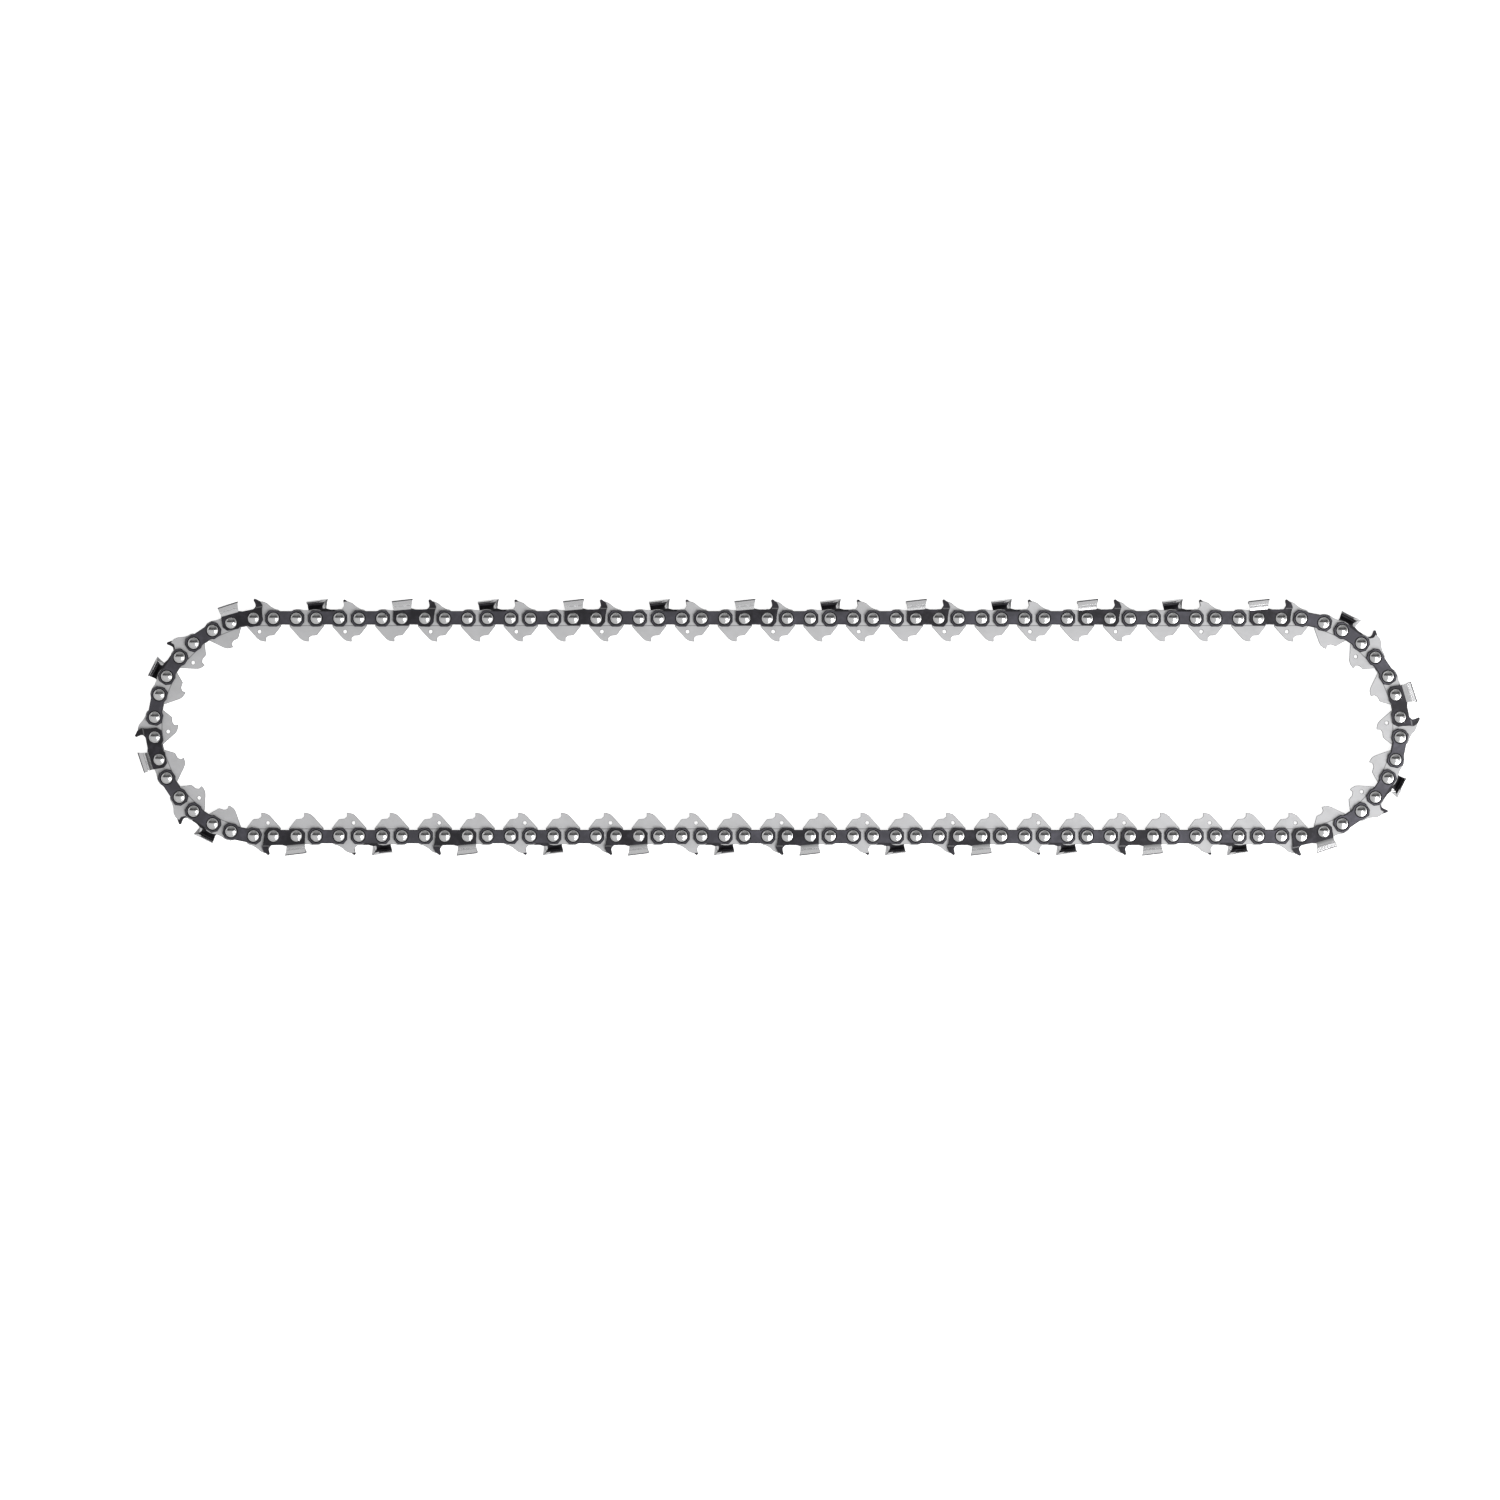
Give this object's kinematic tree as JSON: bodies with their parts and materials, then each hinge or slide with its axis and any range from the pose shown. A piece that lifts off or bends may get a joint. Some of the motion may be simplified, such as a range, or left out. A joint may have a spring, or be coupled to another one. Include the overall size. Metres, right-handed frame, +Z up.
{
  "type": "saw chain loop",
  "caption": "Closed loop of saw chain lying on its side: hooked drive links between riveted tie straps and chrome-topped cutters on alternate sides, with ends that fold.",
  "frame": {"origin": "middle of the loop, on the surface that it lies on", "axes": "+X along the two straight runs, towards the end that the top run travels to; +Y across the loop, from the bottom run to the top run; +Z up, through the width of the chain"},
  "size_m": [0.495, 0.0992, 0.0062],
  "materials": {
    "drive_link_steel": "satin",
    "strap_steel": "black oxide",
    "cutter_steel": "hard chrome top over black oxide",
    "rivet_steel": "polished"
  },
  "bodies": {
    "bottom_run": {"bottom_run_plain_links": "drive_link_steel", "bottom_run_guard_links": "drive_link_steel", "bottom_run_left_cutters": "cutter_steel", "bottom_run_right_cutters": "cutter_steel", "bottom_run_tie_straps": "strap_steel", "bottom_run_rivets": "rivet_steel"},
    "top_run": {"top_run_plain_links": "drive_link_steel", "top_run_guard_links": "drive_link_steel", "top_run_left_cutters": "cutter_steel", "top_run_right_cutters": "cutter_steel", "top_run_tie_straps": "strap_steel", "top_run_rivets": "rivet_steel"},
    "right_end_upper": {"right_end_upper_plain_links": "drive_link_steel", "right_end_upper_guard_links": "drive_link_steel", "right_end_upper_left_cutters": "cutter_steel", "right_end_upper_tie_straps": "strap_steel", "right_end_upper_rivets": "rivet_steel"},
    "right_end_middle": {"right_end_middle_plain_links": "drive_link_steel", "right_end_middle_guard_links": "drive_link_steel", "right_end_middle_right_cutters": "cutter_steel", "right_end_middle_tie_straps": "strap_steel", "right_end_middle_rivets": "rivet_steel"},
    "right_end_lower": {"right_end_lower_plain_links": "drive_link_steel", "right_end_lower_guard_links": "drive_link_steel", "right_end_lower_left_cutters": "cutter_steel", "right_end_lower_right_cutters": "cutter_steel", "right_end_lower_tie_straps": "strap_steel", "right_end_lower_rivets": "rivet_steel"},
    "left_end_upper": {"left_end_upper_plain_links": "drive_link_steel", "left_end_upper_guard_links": "drive_link_steel", "left_end_upper_left_cutters": "cutter_steel", "left_end_upper_right_cutters": "cutter_steel", "left_end_upper_tie_straps": "strap_steel", "left_end_upper_rivets": "rivet_steel"},
    "left_end_middle": {"left_end_middle_plain_links": "drive_link_steel", "left_end_middle_guard_links": "drive_link_steel", "left_end_middle_right_cutters": "cutter_steel", "left_end_middle_tie_straps": "strap_steel", "left_end_middle_rivets": "rivet_steel"},
    "left_end_lower": {"left_end_lower_plain_links": "drive_link_steel", "left_end_lower_guard_links": "drive_link_steel", "left_end_lower_left_cutters": "cutter_steel", "left_end_lower_tie_straps": "strap_steel", "left_end_lower_rivets": "rivet_steel"}
  },
  "joints": [
    {"name": "left_end_lower_pivot", "type": "hinge", "parent": "bottom_run", "child": "left_end_lower", "pos_m": [-0.20197, -0.04194, 0.0031], "axis": [0, 0, -1], "range_deg": [-11.25, 11.25]},
    {"name": "left_end_middle_pivot", "type": "hinge", "parent": "left_end_lower", "child": "left_end_middle", "pos_m": [-0.23539, -0.0196, 0.0031], "axis": [0, 0, -1], "range_deg": [-11.25, 11.25]},
    {"name": "left_end_upper_pivot", "type": "hinge", "parent": "left_end_middle", "child": "left_end_upper", "pos_m": [-0.23539, 0.0196, 0.0031], "axis": [0, 0, -1], "range_deg": [-11.25, 11.25]},
    {"name": "right_end_lower_pivot", "type": "hinge", "parent": "bottom_run", "child": "right_end_lower", "pos_m": [0.20197, -0.04194, 0.0031], "axis": [0, 0, 1], "range_deg": [-11.25, 11.25]},
    {"name": "right_end_middle_pivot", "type": "hinge", "parent": "right_end_lower", "child": "right_end_middle", "pos_m": [0.23539, -0.0196, 0.0031], "axis": [0, 0, 1], "range_deg": [-11.25, 11.25]},
    {"name": "right_end_upper_pivot", "type": "hinge", "parent": "right_end_middle", "child": "right_end_upper", "pos_m": [0.23539, 0.0196, 0.0031], "axis": [0, 0, 1], "range_deg": [-11.25, 11.25]},
    {"name": "top_run_pivot", "type": "hinge", "parent": "right_end_upper", "child": "top_run", "pos_m": [0.20197, 0.04194, 0.0031], "axis": [0, 0, 1], "range_deg": [-11.25, 11.25]}
  ],
  "couplings": [
    {"joint": "left_end_lower_pivot", "follows": "right_end_lower_pivot", "ratio": 1},
    {"joint": "left_end_middle_pivot", "follows": "right_end_lower_pivot", "ratio": -1},
    {"joint": "left_end_upper_pivot", "follows": "right_end_lower_pivot", "ratio": -1},
    {"joint": "right_end_middle_pivot", "follows": "right_end_lower_pivot", "ratio": -1},
    {"joint": "right_end_upper_pivot", "follows": "right_end_lower_pivot", "ratio": -1},
    {"joint": "top_run_pivot", "follows": "right_end_lower_pivot", "ratio": 1}
  ]
}
